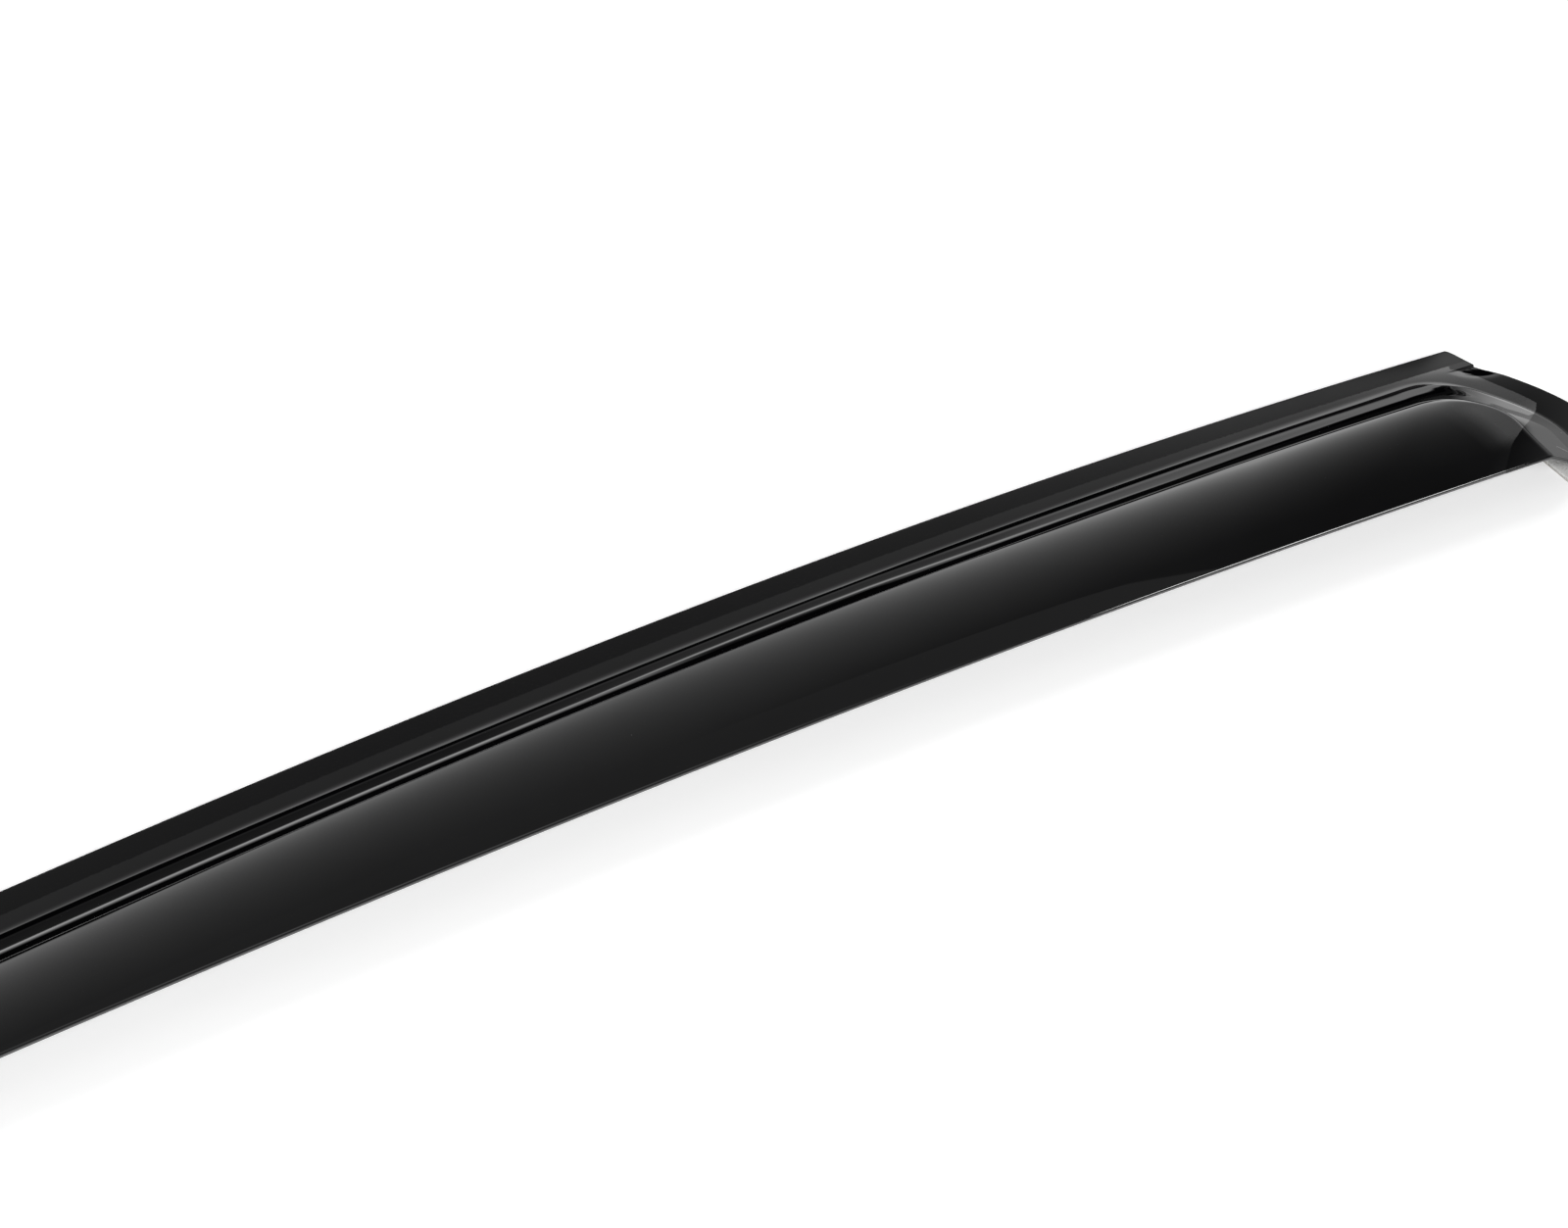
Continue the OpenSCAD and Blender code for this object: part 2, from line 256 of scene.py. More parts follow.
def gridFaces(rows, columns, first=0):
    # four-cornered faces of a grid whose points are numbered row by row
    i, j = np.meshgrid(np.arange(rows - 1), np.arange(columns - 1), indexing="ij")
    a = first + i * columns + j
    b = a + columns
    return np.stack([a, b, b + 1, a + 1], -1).reshape(-1, 4)


def ringOf(rows, columns):
    # the numbers of a grid's outermost points, once round
    return np.concatenate([
        np.arange(rows) * columns, (rows - 1) * columns + np.arange(1, columns),
        np.arange(rows - 2, -1, -1) * columns + columns - 1, np.arange(columns - 2, 0, -1)])


def spread(start, stop, count, last=False):
    return np.linspace(start, stop, count, endpoint=last)


# the clear film that still covers most of the sheet
film = {
    # where it starts, inwards from the top edge
    "start": 8.3,
    # its torn end as (n, s), and the painted sheen along the flange as (s, tone): a pale tone in the film's colour
    # that stands in for a brighter reflection towards the closed end
    "tear": ((0, 1.9), (10, -6.4), (11.2, -4.0), (15, 0.0), (22.7, 4.1), (31.2, 9.1), (36.2, 11.3), (37.2, 12.3),
             (41, 8.7), (52, -8.6), (58, -19.3), (62.7, -27.7), (90, -60.0)),
    "paintedFlangeSheen": ((-170, 0.0), (-60, 0.005), (-35, 0.012), (-20, 0.022), (0, 0.042)),
    # and the painted sheen at the corner, on the shade and on the end's wall, a pale tone that stands in for a
    # reflection there: (s, tone), then the levels in n where it fades in and where it fades out
    "paintedCornerSheen": ((-39, 0.0), (-33, 0.012), (-26, 0.055), (-20, 0.055), (-14, 0.03), (10, 0.03)),
    "cornerSheenFrom": (33.0, 10.0), "cornerSheenTo": (58.0, 8.0),
    # the height over the flange at which the painted sheen ends, how ragged the film's edge is, and the film's gloss
    "paintedSheenRise": 1.5, "rag": 900.0, "ragDepth": 0.8, "edgeBlur": 0.05, "ior": 1.5, "roughness": 0.03,
}

# the sheet's grid
grid = {
    # stations along s: how many in each zone, how far the two end zones reach, and where they begin
    "plainEnd": 30, "middle": 290, "closedEnd": 130, "plainReach": 60.0, "closedReach": 70.0,
    "plainFrom": 1.4, "closedFrom": 0.2,
    # levels across n: how many in each zone, where the flange's begin, half the notch's zone and the foot's least end
    "bareFlange": 5, "filmedFlange": 4, "notch": 11, "foot": 8, "step": 20, "crest": 12, "shade": 20, "lowerEdge": 13,
    "flangeFrom": 1.5, "notchHalf": 0.5, "footTo": 1.5,
    # the first step in from an edge, and the angles of the rim's rounding
    "firstStep": 0.15, "rimAngles": (18, 36, 54, 72, 90),
}


def stationLine():
    e, total = visor["edgeRadius"], visor["topLength"]
    first, plain, closed = grid["firstStep"], grid["plainReach"], grid["closedReach"]
    return np.concatenate([
        [-total + e, -total + e + first],
        spread(-total + grid["plainFrom"], -total + plain, grid["plainEnd"]),
        spread(-total + plain, -closed, grid["middle"]),
        spread(-closed, -e - grid["closedFrom"], grid["closedEnd"]),
        [-e - first, -e]])


def levelGrid(s, width):
    # one row of levels for each station: close at the notch, foot and crest, wherever they run there
    e, tongue, count = visor["edgeRadius"], visor["tongueWidth"], len(s)
    step = sized("flangeWidth", s) + footWidth(s)
    crest = step + sized("stepWidth", s)
    crown = crest + sized("crestWidth", s)
    first, filmAt, half = grid["firstStep"], film["start"], grid["notchHalf"]
    fixed = np.concatenate([
        [e, e + first],
        spread(grid["flangeFrom"], filmAt, grid["bareFlange"]),
        spread(filmAt, tongue - half, grid["filmedFlange"]),
        spread(tongue - half, tongue + half, grid["notch"])])
    parts = [np.repeat(fixed[None], count, 0)]

    def between(start, stop, shares):
        start, stop = np.broadcast_to(start, count), np.broadcast_to(stop, count)
        parts.append(start[:, None] + (stop - start)[:, None] * shares[None])

    footEnd, corner = np.maximum(step, tongue + grid["footTo"]), width - visor["lobeCorner"]
    between(tongue + half, footEnd, spread(0, 1, grid["foot"]))
    between(footEnd, crest, spread(0, 1, grid["step"]))
    between(crest, crown, spread(0, 1, grid["crest"]))
    between(crown, corner, spread(0, 1, grid["shade"]))
    # ever closer towards the lower edge, by a quarter sine
    between(corner, width - e - first, np.sin(spread(0, math.pi / 2, grid["lowerEdge"], True)))
    between(width - e, width - e, np.zeros(1))
    return np.concatenate(parts, 1)


def makeShell():
    # the outer grid, the inner one a wall's thickness under it, and the rim that joins them
    s0 = stationLine()
    width = widthAt(s0)
    n = levelGrid(s0, width)
    s = bentS(s0[:, None], n, width[:, None])
    rows, columns = n.shape
    normal = outwards(s, n)
    top = place(s, n, visor["flangeTop"] + rise(s, n))
    # the wall thins towards the polished lower edge
    wall = visor["wall"] - visor["thinBy"] * ease((n - width[:, None]) / visor["thinOver"] + 1)
    base = top - wall[..., None] * normal
    # the rim goes once round the grid, and its profile is two quarter circles with a straight between
    ring = ringOf(rows, columns)
    flatTop, flatBase, flatNormal = (a.reshape(-1, 3) for a in (top, base, normal))
    away = np.cross(flatNormal[ring], np.roll(flatTop[ring], -1, 0) - np.roll(flatTop[ring], 1, 0))
    away /= np.linalg.norm(away, axis=1, keepdims=True)
    e = visor["edgeRadius"]
    angles = np.radians(grid["rimAngles"])
    upper = [flatTop[ring] + e * (math.sin(a) * away - (1 - math.cos(a)) * flatNormal[ring]) for a in angles]
    lower = [flatBase[ring] + e * (math.sin(a) * away + (1 - math.cos(a)) * flatNormal[ring]) for a in angles[::-1]]
    bands = upper + lower
    size, loop = rows * columns, len(ring)
    strip = [ring] + [2 * size + k * loop + np.arange(loop) for k in range(len(bands))] + [size + ring]
    faces = [gridFaces(rows, columns)[:, ::-1], gridFaces(rows, columns, size)]
    for a, b in zip(strip[:-1], strip[1:]):
        faces.append(np.stack([a, np.roll(a, -1), np.roll(b, -1), b], -1))
    points = np.concatenate([flatTop, flatBase] + bands) * mm
    piece = addMesh("deflectorSheet", points, np.concatenate(faces).tolist())
    sn = np.stack([s, n], -1).reshape(-1, 2)
    return piece, np.concatenate([sn, sn] + [sn[ring]] * len(bands))


print("stage: sheet")
sheet, sheetPlaces = makeShell()


def addAttribute(piece, name, values):
    layer = piece.data.attributes.new(name, "FLOAT", "POINT")
    layer.data.foreach_set("value", np.asarray(values, np.float32))


def filmDepth(s, n):
    # the lower of the distances to its straight side and to its torn end, positive inside
    return np.minimum(n - film["start"], np.interp(n, *zip(*film["tear"])) - s)


def filmPaintedSheen(s, n):
    # the painted sheen on the flange, which ends where the foot rises, and that at the corner, between two levels:
    # pale tones that stand in for reflections
    flat = np.interp(s, *zip(*film["paintedFlangeSheen"])) * (1 - ease(rise(s, n) / film["paintedSheenRise"]))
    (start, fadeIn), (stop, fadeOut) = film["cornerSheenFrom"], film["cornerSheenTo"]
    return flat + np.interp(s, *zip(*film["paintedCornerSheen"])) * ease((n - start) / fadeIn) * (1 - ease((n - stop) / fadeOut))


sheetS, sheetN = sheetPlaces[:, 0], sheetPlaces[:, 1]
addAttribute(sheet, "filmDepth", filmDepth(sheetS, sheetN))
addAttribute(sheet, "filmPaintedSheen", filmPaintedSheen(sheetS, sheetN))
addAttribute(sheet, "alongEdge", sheetS)
addAttribute(sheet, "fromEdge", sheetN)


def newMaterial(name, last="ShaderNodeBsdfPrincipled"):
    # a material whose last shader is the node of that kind
    material = bpy.data.materials.new(name)
    material.use_nodes = True
    tree = material.node_tree
    tree.nodes.clear()
    out = tree.nodes.new("ShaderNodeOutputMaterial")
    shader = tree.nodes.new(last)
    tree.links.new(shader.outputs[0], out.inputs[0])
    return material, tree, shader


def addNode(tree, kind, inputs=None, **settings):
    # an input is either another node's output, which is linked, or a plain value
    node = tree.nodes.new(kind)
    for key, value in settings.items():
        setattr(node, key, value)
    for key, value in (inputs or {}).items():
        if isinstance(value, bpy.types.NodeSocket):
            tree.links.new(value, node.inputs[key])
        else:
            node.inputs[key].default_value = value
    return node


def combine(tree, kind, a, b):
    return addNode(tree, "ShaderNodeMath", {0: a, 1: b}, operation=kind).outputs[0]


def reading(tree, name):
    # what one of the mesh's attributes says at a place
    return addNode(tree, "ShaderNodeAttribute", attribute_name=name).outputs["Fac"]


def objectNoise(tree, scale, detail, rough=0.5):
    spot = addNode(tree, "ShaderNodeTexCoord")
    return addNode(tree, "ShaderNodeTexNoise", {
        "Vector": spot.outputs["Object"], "Scale": scale, "Detail": detail, "Roughness": rough}).outputs["Fac"]


def blend(tree, value, between, results):
    # turns the value's range between two ends into that between two results
    node = addNode(tree, "ShaderNodeMapRange", {
        "Value": value, "From Min": between[0], "From Max": between[1], "To Min": results[0], "To Max": results[1]})
    return node.outputs[0]


def ramp(tree, source, stops):
    # stops of (place, tone), a tone being one grey or three colours
    node = addNode(tree, "ShaderNodeValToRGB", {"Fac": source})
    line = node.color_ramp
    while len(line.elements) < len(stops):
        line.elements.new(0.5)
    for element, (at, tone) in zip(line.elements, stops):
        element.position = at
        element.color = (*tone, 1) if len(tone) == 3 else (tone[0],) * 3 + (1,)
    return node.outputs["Color"]


# the sheet's own finish: near black and polished, and satin along its bare top edge, more so towards the closed end
acrylic = {
    "tone": (0.0011, 0.0011, 0.0013), "paler": 1.5, "cloud": 60.0, "cloudStops": (0.3, 0.75),
    "roughness": 0.02, "ior": 1.49, "satin": (0.16, 0.38), "satinFrom": (-230.0, -90.0), "satinBlend": 0.2,
}

# specks of dust all over the shade: cells to the metre, the largest speck as a share of one, the share of cells
# without one, the tone, and the level they start at, then one short scratch between two places in s and n
dust = {"cell": 95.0, "size": 0.03, "share": 0.72, "tone": (0.32, 0.32, 0.32), "from": 30.0}
scratch = {"start": (-7.9, 65.7), "stop": (-3.7, 68.2), "half": 0.16}


def dustMask(tree, fromEdge):
    spot = addNode(tree, "ShaderNodeTexCoord")
    cells = addNode(tree, "ShaderNodeTexVoronoi", {"Vector": spot.outputs["Object"], "Scale": dust["cell"]})
    lot = addNode(tree, "ShaderNodeSeparateXYZ", {0: cells.outputs["Color"]})
    size = combine(tree, "MULTIPLY", lot.outputs["Y"], dust["size"])
    small = combine(tree, "LESS_THAN", cells.outputs["Distance"], size)
    few = combine(tree, "GREATER_THAN", lot.outputs["X"], dust["share"])
    onShade = combine(tree, "GREATER_THAN", fromEdge, dust["from"])
    return combine(tree, "MULTIPLY", combine(tree, "MULTIPLY", small, few), onShade)


def scratchMask(tree, alongEdge, fromEdge):
    # how far along the scratch a place lies, and how far beside it
    (s0, n0), (s1, n1) = scratch["start"], scratch["stop"]
    size = math.hypot(s1 - s0, n1 - n0)
    ds, dn = (s1 - s0) / size, (n1 - n0) / size
    s, n = combine(tree, "SUBTRACT", alongEdge, s0), combine(tree, "SUBTRACT", fromEdge, n0)
    way = combine(tree, "ADD", combine(tree, "MULTIPLY", s, ds), combine(tree, "MULTIPLY", n, dn))
    beside = combine(tree, "SUBTRACT", combine(tree, "MULTIPLY", n, ds), combine(tree, "MULTIPLY", s, dn))
    thin = combine(tree, "LESS_THAN", combine(tree, "ABSOLUTE", beside, 0.0), scratch["half"])
    fromMiddle = combine(tree, "ABSOLUTE", combine(tree, "SUBTRACT", way, size / 2), 0.0)
    return combine(tree, "MULTIPLY", thin, combine(tree, "LESS_THAN", fromMiddle, size / 2))


def smokedAcrylic():
    material, tree, shader = newMaterial("smokedAcrylic")
    low, high = acrylic["cloudStops"]
    paler = tuple(acrylic["paler"] * c for c in acrylic["tone"])
    tone = ramp(tree, objectNoise(tree, acrylic["cloud"], 2), [(low, acrylic["tone"]), (high, paler)])
    shader.inputs["IOR"].default_value = acrylic["ior"]
    # the film is a coat, with a slightly ragged edge
    shader.inputs["Coat IOR"].default_value = film["ior"]
    shader.inputs["Coat Roughness"].default_value = film["roughness"]
    depth = reading(tree, "filmDepth")
    rag = combine(tree, "SUBTRACT", objectNoise(tree, film["rag"], 2), 0.5)
    edge = addNode(tree, "ShaderNodeMath", {0: rag, 1: film["ragDepth"], 2: depth}, operation="MULTIPLY_ADD")
    cover = blend(tree, edge.outputs[0], (-film["edgeBlur"], film["edgeBlur"]), (0.0, 1.0))
    tree.links.new(cover, shader.inputs["Coat Weight"])
    # the painted sheen is added to the base colour where the film covers, a pale tone standing in for brighter
    # reflections near the closed end
    paintedSheen = combine(tree, "MULTIPLY", reading(tree, "filmPaintedSheen"), cover)
    tone = addNode(tree, "ShaderNodeMixRGB", {"Fac": 1.0, "Color1": tone, "Color2": paintedSheen}, blend_type="ADD")
    fromEdge, alongEdge = reading(tree, "fromEdge"), reading(tree, "alongEdge")
    marks = combine(tree, "MAXIMUM", dustMask(tree, fromEdge), scratchMask(tree, alongEdge, fromEdge))
    tone = addNode(tree, "ShaderNodeMixRGB", {
        "Fac": marks, "Color1": tone.outputs["Color"], "Color2": (*dust["tone"], 1)})
    tree.links.new(tone.outputs["Color"], shader.inputs["Base Color"])
    # satin where the sheet is bare along its top edge, polished elsewhere
    satin = blend(tree, alongEdge, acrylic["satinFrom"], acrylic["satin"])
    bareEnd = (film["start"] - acrylic["satinBlend"], film["start"])
    rough = blend(tree, fromEdge, bareEnd, (satin, acrylic["roughness"]))
    tree.links.new(rough, shader.inputs["Roughness"])
    return material


sheet.data.materials.append(smokedAcrylic())
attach(sheet, "root")
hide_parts("deflector_shell")

print("stage: tape and liners")
foam = {
    "tones": ((0.3, (0.018, 0.018, 0.019)), (0.7, (0.05, 0.05, 0.052))), "cell": 2600.0, "detail": 4,
    "roughness": 0.85, "bump": 0.6, "bumpDepth": 0.0002,
}
liner = {
    "tones": ((0.3, (0.62, 0.60, 0.56)), (0.7, (0.74, 0.72, 0.68))), "fibre": 700.0, "detail": 5, "roughness": 0.45,
}


def addBump(tree, shader, height, look):
    bump = addNode(tree, "ShaderNodeBump", {
        "Height": height, "Strength": look["bump"], "Distance": look["bumpDepth"]})
    tree.links.new(bump.outputs[0], shader.inputs["Normal"])


def foamTape():
    material, tree, shader = newMaterial("foamTape")
    cells = objectNoise(tree, foam["cell"], foam["detail"])
    tree.links.new(ramp(tree, cells, foam["tones"]), shader.inputs["Base Color"])
    shader.inputs["Roughness"].default_value = foam["roughness"]
    addBump(tree, shader, cells, foam)
    return material


def paperLiner():
    material, tree, shader = newMaterial("paperLiner")
    fibre = objectNoise(tree, liner["fibre"], liner["detail"])
    tree.links.new(ramp(tree, fibre, liner["tones"]), shader.inputs["Base Color"])
    shader.inputs["Roughness"].default_value = liner["roughness"]
    return material


foamMaterial, linerMaterial = foamTape(), paperLiner()
for node, material in (("flange_tape", foamMaterial), ("flange_liner", linerMaterial), ("end_tape", foamMaterial),
                       ("end_liner", linerMaterial), ("pad_liner", linerMaterial)):
    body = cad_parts[node]
    body.data.materials.clear()
    body.data.materials.append(material)

print("stage: pad")
padLook = {
    "points": 90, "lift": 0.01, "drop": 0.02, "rounded": 0.25, "roundPower": 30,
    # how far its edges are held back, how close to them, and the waves in them: (size, per u, per v, start) each
    "heldBack": 0.28, "heldPower": 8, "waves": ((0.12, 9, 23, 0), (0.10, 31, -17, 1), (0.06, 73, 73, 0)),
    "tones": ((0.34, (0.55, 0.54, 0.51)), (0.46, (0.86, 0.85, 0.83)), (0.6, (0.95, 0.95, 0.94))),
    "grain": 1500.0, "detail": 4, "grainRough": 0.7, "roughness": 0.9, "bump": 0.7, "bumpDepth": 0.0003,
}


def makePad():
    # two flat grids between the pad's four corners, with edges that wander a little, and a straight rim between them
    count = padLook["points"]
    u, v = np.meshgrid(np.linspace(0, 1, count), np.linspace(0, 1, count), indexing="ij")
    near = padOuter + (padInner - padOuter) * u[..., None]
    far = padHeel + (padTip - padHeel) * u[..., None]
    sn = near + (far - near) * v[..., None]
    middle = sn.mean((0, 1))
    border = np.clip(1 - np.minimum(np.minimum(u, 1 - u), np.minimum(v, 1 - v)) * 2, 0, 1)
    wander = sum(size * np.sin(a * u + b * v + start) for size, a, b, start in padLook["waves"])
    inset = border ** padLook["heldPower"] * (padLook["heldBack"] + wander)
    sn = sn + (middle - sn) / np.linalg.norm(middle - sn + 1e-9, axis=-1, keepdims=True) * inset[..., None]
    low = pad["liner"] + padLook["lift"]
    high = pad["liner"] + pad["thick"] - padLook["drop"]
    top = place(sn[..., 0], sn[..., 1], high - padLook["rounded"] * border ** padLook["roundPower"])
    base = place(sn[..., 0], sn[..., 1], low)
    size, ring = count * count, ringOf(count, count)
    rim = np.stack([ring, np.roll(ring, -1), size + np.roll(ring, -1), size + ring], -1)[:, ::-1]
    faces = np.concatenate([gridFaces(count, count), gridFaces(count, count, size)[:, ::-1], rim])
    points = np.concatenate([top.reshape(-1, 3), base.reshape(-1, 3)]) * mm
    return addMesh("endPad", points, faces.tolist())


def grainyPad():
    material, tree, shader = newMaterial("grainyPad")
    grain = objectNoise(tree, padLook["grain"], padLook["detail"], padLook["grainRough"])
    tree.links.new(ramp(tree, grain, padLook["tones"]), shader.inputs["Base Color"])
    shader.inputs["Roughness"].default_value = padLook["roughness"]
    addBump(tree, shader, grain, padLook)
    return material


endPad = makePad()
endPad.data.materials.append(grainyPad())
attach(endPad, "root")
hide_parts("end_pad")

print("stage: studio")
studio = {
    # the floor: half its width, the points along a side, how far it lies under the part, its tone, and how much it
    # glows for the camera and for mirrors alone
    "floorHalf": 4.0, "floorPoints": 9, "floorDrop": 0.00002, "floorTone": 0.82, "floorGlow": 0.36,
    # brightness against height above the horizon in degrees
    "sky": ((0, 0.62), (5, 0.60), (9, 0.53), (12, 0.48), (15, 0.40), (21, 0.33), (25, 0.29), (30, 0.24),
            (36, 0.205), (42, 0.165), (48, 0.15), (58, 0.14), (66, 0.2), (76, 0.6), (90, 0.8)),
}


def makeFloor():
    # a wide flat grid just under the part
    line = np.linspace(-studio["floorHalf"], studio["floorHalf"], studio["floorPoints"])
    x, y = np.meshgrid(line, line, indexing="ij")
    points = np.stack([x, y, np.zeros_like(x) - studio["floorDrop"]], -1)
    floor = addMesh("paleFloor", points, gridFaces(len(line), len(line)).tolist())
    material, tree, both = newMaterial("paleFloor", "ShaderNodeAddShader")
    matt = addNode(tree, "ShaderNodeBsdfDiffuse", {"Color": (studio["floorTone"],) * 3 + (1,)})
    path = addNode(tree, "ShaderNodeLightPath")
    seen = combine(tree, "ADD", path.outputs["Is Camera Ray"], path.outputs["Is Glossy Ray"])
    seen = combine(tree, "ADD", seen, path.outputs["Is Transmission Ray"])
    glow = addNode(tree, "ShaderNodeEmission", {"Strength": combine(tree, "MULTIPLY", seen, studio["floorGlow"])})
    tree.links.new(matt.outputs[0], both.inputs[0])
    tree.links.new(glow.outputs[0], both.inputs[1])
    floor.data.materials.append(material)


def makeSky():
    world = bpy.data.worlds.new("softRoom")
    bpy.context.scene.world = world
    world.use_nodes = True
    tree = world.node_tree
    tree.nodes.clear()
    out = addNode(tree, "ShaderNodeOutputWorld")
    spot = addNode(tree, "ShaderNodeTexCoord")
    parts = addNode(tree, "ShaderNodeSeparateXYZ", {0: spot.outputs["Generated"]})
    tone = ramp(tree, parts.outputs["Z"], [(sineOf(angle), (tone,)) for angle, tone in studio["sky"]])
    back = addNode(tree, "ShaderNodeBackground", {"Color": tone})
    tree.links.new(back.outputs[0], out.inputs[0])


# a studio card stands behind the part, out of the camera's sight, for the polished sheet to mirror: its foot is dark
# with a pale lip and a bright line, and above that it glows and fades upwards
card = {
    # where it stands, its height, how high its fine rows reach and how far above that the others begin
    "standS": (-700.0, -513.0, -403.0, -323.0, -238.0, -194.0, -149.0, -103.0, -57.0, -9.0, 39.0, 120.0),
    "standN": (-54.0, -56.3, -55.6, -50.9, -42.4, -36.2, -29.5, -21.8, -13.5, -5.2, 3.7, 19.0),
    "height": 150.0, "fine": 22.0, "coarseStep": 0.5,
    # points along the curtain, up its fine and its other rows, across the skirt, and along and across the side patch
    "columns": 260, "fineRows": 89, "otherRows": 32, "skirtRows": 40, "sideColumns": 30, "sideRows": 60,
    # the dark foot's top, its lip, the cut below which all is dark, and the bright line: (s, height) each
    "top": ((-522, 22.5), (-451, 20.0), (-386, 18.3), (-335, 18.0), (-285, 17.5), (-245, 17.0), (-211, 17.8),
            (-160, 19.3), (-99, 19.2), (-65, 16.6), (-31, 15.0), (-5, 15.0), (3, 9.0), (12, 9.0), (20, 16.0)),
    "lip": ((-510, 14.8), (-306, 14.4), (-238, 14.0), (-215, 12.8), (-190, 11.8), (-145, 10.8), (-79, 10.2),
            (-57, 9.8), (-38, 9.3), (-20, 9.0), (0, 9.6)),
    "cut": ((-145, -2.0), (-124, -1.0), (-105, 0.8), (-79, 2.9), (-57, 4.0), (-38, 5.1), (-20, 5.7), (0, 5.7),
            (12, 6.0)),
    "line": ((-510, -1.0), (-394, -0.6), (-348, 0.3), (-306, 3.0), (-271, 4.0), (-238, 3.9), (-215, 2.3), (-190, 1.0),
             (-145, 0.4)),
    # their tones: (s, tone) each
    "lipTone": ((-510, 0.06), (-394, 0.12), (-215, 0.2), (-190, 0.42), (-105, 0.55), (-20, 0.48), (0, 0.6)),
    "footTone": ((-394, 0.04), (-306, 0.1), (-190, 0.12), (-145, 0.25), (-57, 0.32), (-20, 0.4)),
    "lineTone": ((-394, 1.0), (-215, 0.9), (-190, 0.7), (-145, 0.35), (-105, 0.0)),
    "skirtTone": ((-394, 1.1), (-348, 0.65), (-306, 0.03), (-238, 0.0), (-190, 0.5), (-170, 0.65), (-124, 0.25),
                  (-105, 0.0)),
    # the glow above: e to the power of start + fall * u + ease * u squared, u the root of the height over the foot
    "glowS": (-560.0, -430.0, -320.0, -230.0, -150.0, -80.0, -10.0, 50.0, 90.0),
    "glowStart": (0.42, 0.38, -0.07, 0.13, 0.62, 1.35, 1.07, 0.9, -0.7),
    "glowFall": (-0.265, -0.316, -0.228, -0.226, -0.347, -0.59, -0.804, -0.65, 0.0),
    "glowEase": (0.005, 0.01, 0.006, 0.002, 0.007, 0.02, 0.037, 0.022, 0.0),
    "glowFoot": 17.0, "glowMost": 1.1,
    # how soft its borders are, how far the lip fades downwards, and half the bright line's width
    "blur": 0.35, "lipFade": 3.0, "lineHalf": 1.3,
    # the flat skirt: its gap to the part's edge, its height, where it gets dark and how far that takes; the dark
    # towards the part is painted shade on the floor, as the sheet mirrors it
    "skirtGap": 0.5, "skirtHeight": 0.1, "skirtDark": -20.0, "skirtWidth": ((-394, 27.0), (-190, 13.0)),
    # the flat patch beside the closed end
    "sideS": (8.0, 150.0), "sideN": (-20.0, 95.0), "sideHeight": 0.15, "sideFade": (8.0, 14.0), "sideTone": 0.45,
    # its tone when it is mirrored a second time
    "again": ((10, 0.0), (40, 1.1)),
}


def along(name, s):
    # one of the card's lists, read at s
    at, values = zip(*card[name])
    return np.interp(s, at, values)


def cardTone(s, z):
    # the glow over the dark foot's top, then the foot's lip, its fade downwards and the bright line
    blur = card["blur"]
    u = np.sqrt(np.maximum(z - card["glowFoot"], 0))
    start, fall, slow = (np.interp(s, card["glowS"], card[name]) for name in ("glowStart", "glowFall", "glowEase"))
    glow = np.minimum(np.exp(start + fall * u + slow * u * u), card["glowMost"])
    lip, lipTone = along("lip", s), along("lipTone", s)
    foot = lipTone + (along("footTone", s) - lipTone) * ease((lip - z) / card["lipFade"])
    foot = foot * ease((lip - z + blur) / (2 * blur)) * ease((z - along("cut", s) + blur) / (2 * blur))
    line = along("lineTone", s) * np.exp(-((z - along("line", s)) / card["lineHalf"]) ** 2)
    return glow * ease((z - along("top", s) + blur) / (2 * blur)) + foot + line


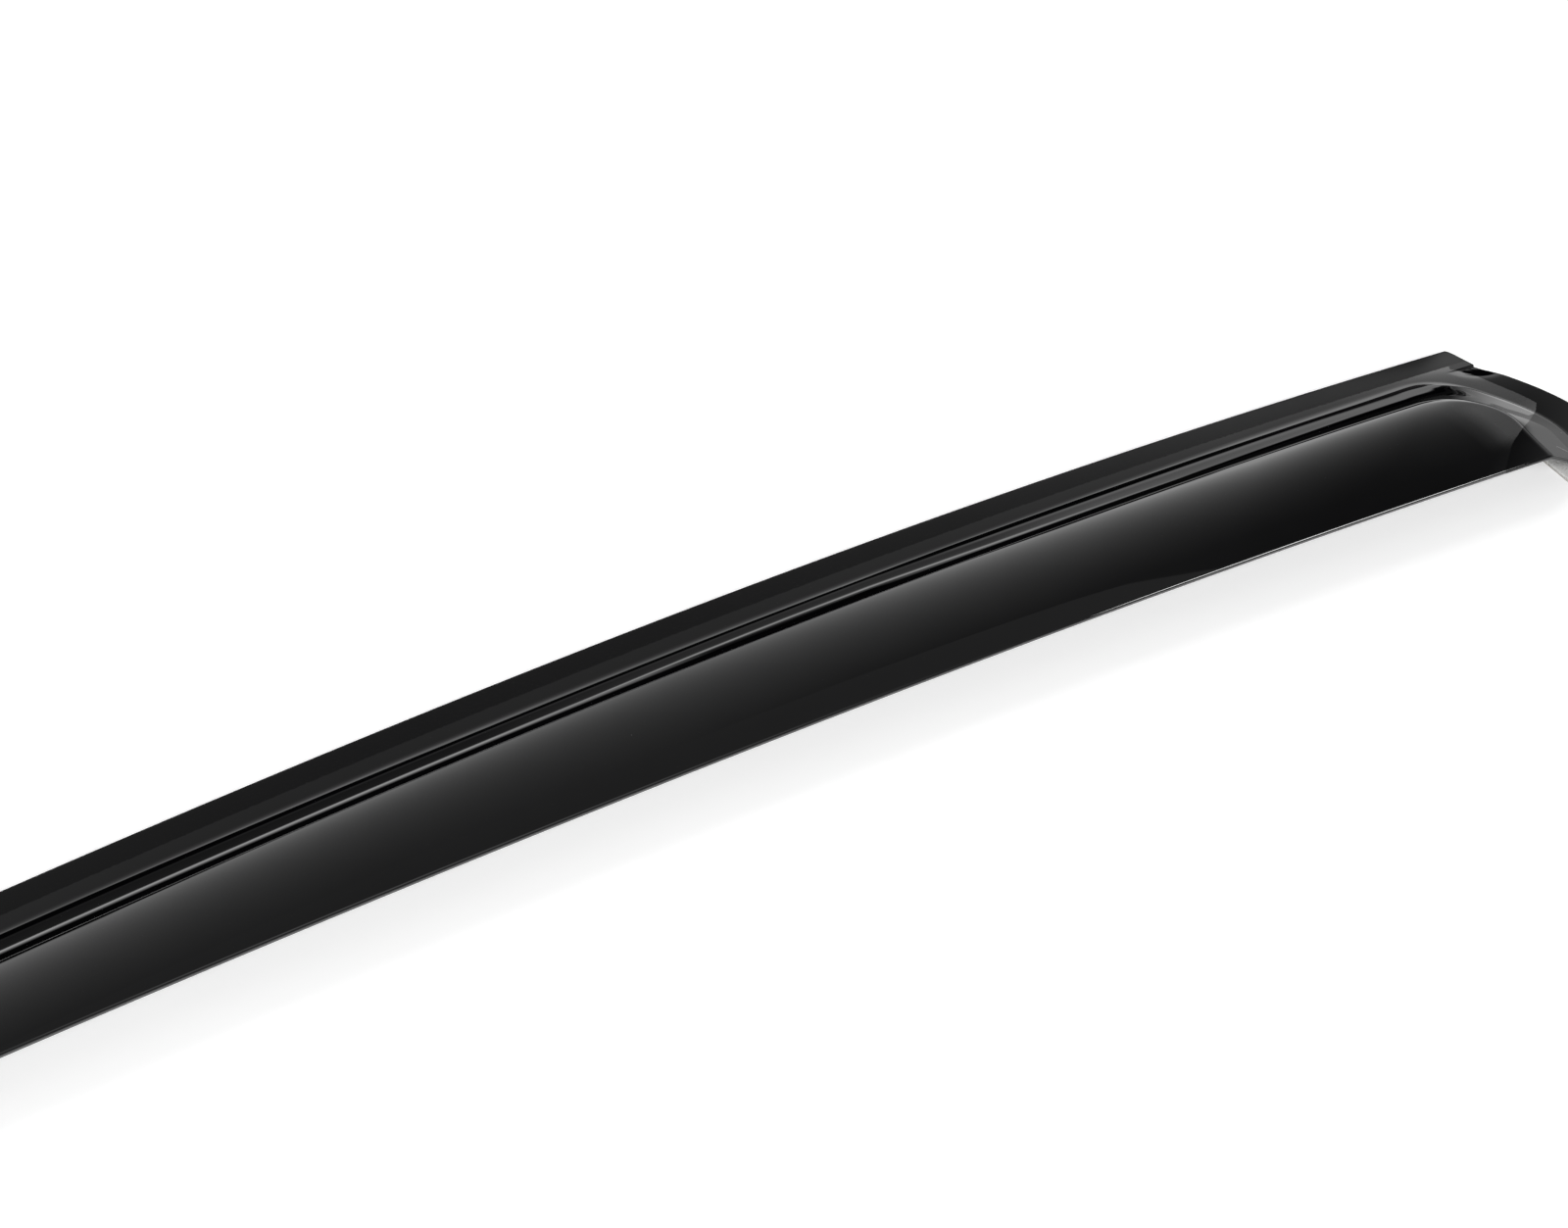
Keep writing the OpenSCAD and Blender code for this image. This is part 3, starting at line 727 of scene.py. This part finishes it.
def makeCard():
    # an upright curtain along a line in s and n, and a flat skirt from its foot to the part's edge
    columns, fine, gap = card["columns"], card["fine"], card["skirtGap"]
    s = np.linspace(card["standS"][0], card["standS"][-1], columns)[:, None]
    n = np.interp(s, card["standS"], card["standN"])
    z = np.concatenate([np.linspace(0, fine, card["fineRows"]),
                        np.geomspace(fine + card["coarseStep"], card["height"], card["otherRows"])])[None]
    share = np.linspace(0, 1, card["skirtRows"])[None]
    skirt = n + (np.maximum(-gap, n + gap) - n) * share
    # the skirt fades to dark towards the part: painted shade on the floor, seen only in the sheet's mirror
    skirtTone = along("skirtTone", s) * ease((card["skirtDark"] - skirt) / along("skirtWidth", s))
    # and a flat patch beside the closed end, for its wall to mirror
    sideS = np.linspace(*card["sideS"], card["sideColumns"])[:, None]
    sideN = np.linspace(*card["sideN"], card["sideRows"])[None]
    sideTone = card["sideTone"] * ease((sideN - card["sideFade"][0]) / card["sideFade"][1]) + 0 * sideS
    parts = [place(s, n, z), place(s, skirt, card["skirtHeight"]), place(sideS, sideN, card["sideHeight"])]
    points = np.concatenate([part.reshape(-1, 3) for part in parts]) * mm
    firsts = (0, columns * z.size, columns * (z.size + share.size))
    faces = np.concatenate([gridFaces(*part.shape[:2], first) for part, first in zip(parts, firsts)])
    body = addMesh("studioCard", points, faces.tolist())
    addAttribute(body, "tone", np.concatenate([cardTone(s, z).ravel(), skirtTone.ravel(), sideTone.ravel()]))
    againTone = along("again", s) + 0 * z
    addAttribute(body, "again", np.concatenate([againTone.ravel(), np.zeros(skirt.size + sideTone.size)]))
    material, tree, light = newMaterial("studioCard", "ShaderNodeEmission")
    # mirrored a second time it is black but for its right end, as the flange looks black where the crest mirrors it
    path = addNode(tree, "ShaderNodeLightPath")
    later = combine(tree, "GREATER_THAN", path.outputs["Glossy Depth"], 1.5)
    strength = addNode(tree, "ShaderNodeMixRGB", {
        "Fac": later, "Color1": reading(tree, "tone"), "Color2": reading(tree, "again")})
    tree.links.new(strength.outputs["Color"], light.inputs["Color"])
    body.data.materials.append(material)
    body.visible_camera = False
    body.visible_diffuse = False
    body.visible_shadow = False
    body.visible_transmission = False


# the lamps, in metres and watts: where each hangs, what it aims at, how wide it is and how strong, and what it serves
lamps = {
    "frontKey": {"spot": (-0.5, -1.3, 1.25), "aim": (0, 0, 0), "size": 1.2, "power": 28.0, "mirrored": False},
    # the light from behind leaves a soft shadow along the lower edge
    "backKey": {"spot": (0.3, 1.15, 1.7), "aim": (0, 0, 0), "size": 1.2, "power": 17.0, "mirrored": False},
    # this one serves mirrors alone, such as the polished lower edge towards the closed end
    "edgeLamp": {"spot": (1.0, -0.53, 1.12), "aim": (0.11, -0.03, 0), "size": 0.5, "power": 7.0, "lit": False},
}


def makeLamp(name, spot, aim, size, power, mirrored=True, lit=True):
    # a round lamp that mirrors show only if mirrored, and that lights matt things only if lit
    lamp = bpy.data.lights.new(name, "AREA")
    lamp.shape = "DISK"
    lamp.size = size
    lamp.energy = power
    body = bpy.data.objects.new(name, lamp)
    bpy.context.scene.collection.objects.link(body)
    way = np.array(aim, float) - np.array(spot, float)
    way /= np.linalg.norm(way)
    body.location = spot
    body.rotation_euler = (math.acos(-way[2]), 0, math.atan2(way[1], way[0]) - math.pi / 2)
    body.visible_glossy = mirrored
    body.visible_diffuse = lit


# the photograph's view: metres, degrees down and to the right of +Y, and millimetres of lens and film
view = {"spot": (-0.060609, -0.240767, 0.375), "down": 50.0, "turn": 28.195, "lens": 33.75, "film": 36, "near": 0.01}


def makeCamera():
    lens = bpy.data.cameras.new("mainCamera")
    lens.lens = view["lens"]
    lens.sensor_width = view["film"]
    lens.sensor_fit = "HORIZONTAL"
    lens.clip_start = view["near"]
    body = bpy.data.objects.new("mainCamera", lens)
    bpy.context.scene.collection.objects.link(body)
    body.location = view["spot"]
    body.rotation_euler = (math.radians(90 - view["down"]), 0, math.radians(-view["turn"]))
    bpy.context.scene.camera = body


makeFloor()
makeSky()
makeCard()
for name, lamp in lamps.items():
    makeLamp(name, **lamp)
makeCamera()
bpy.context.scene.view_settings.view_transform = "Standard"
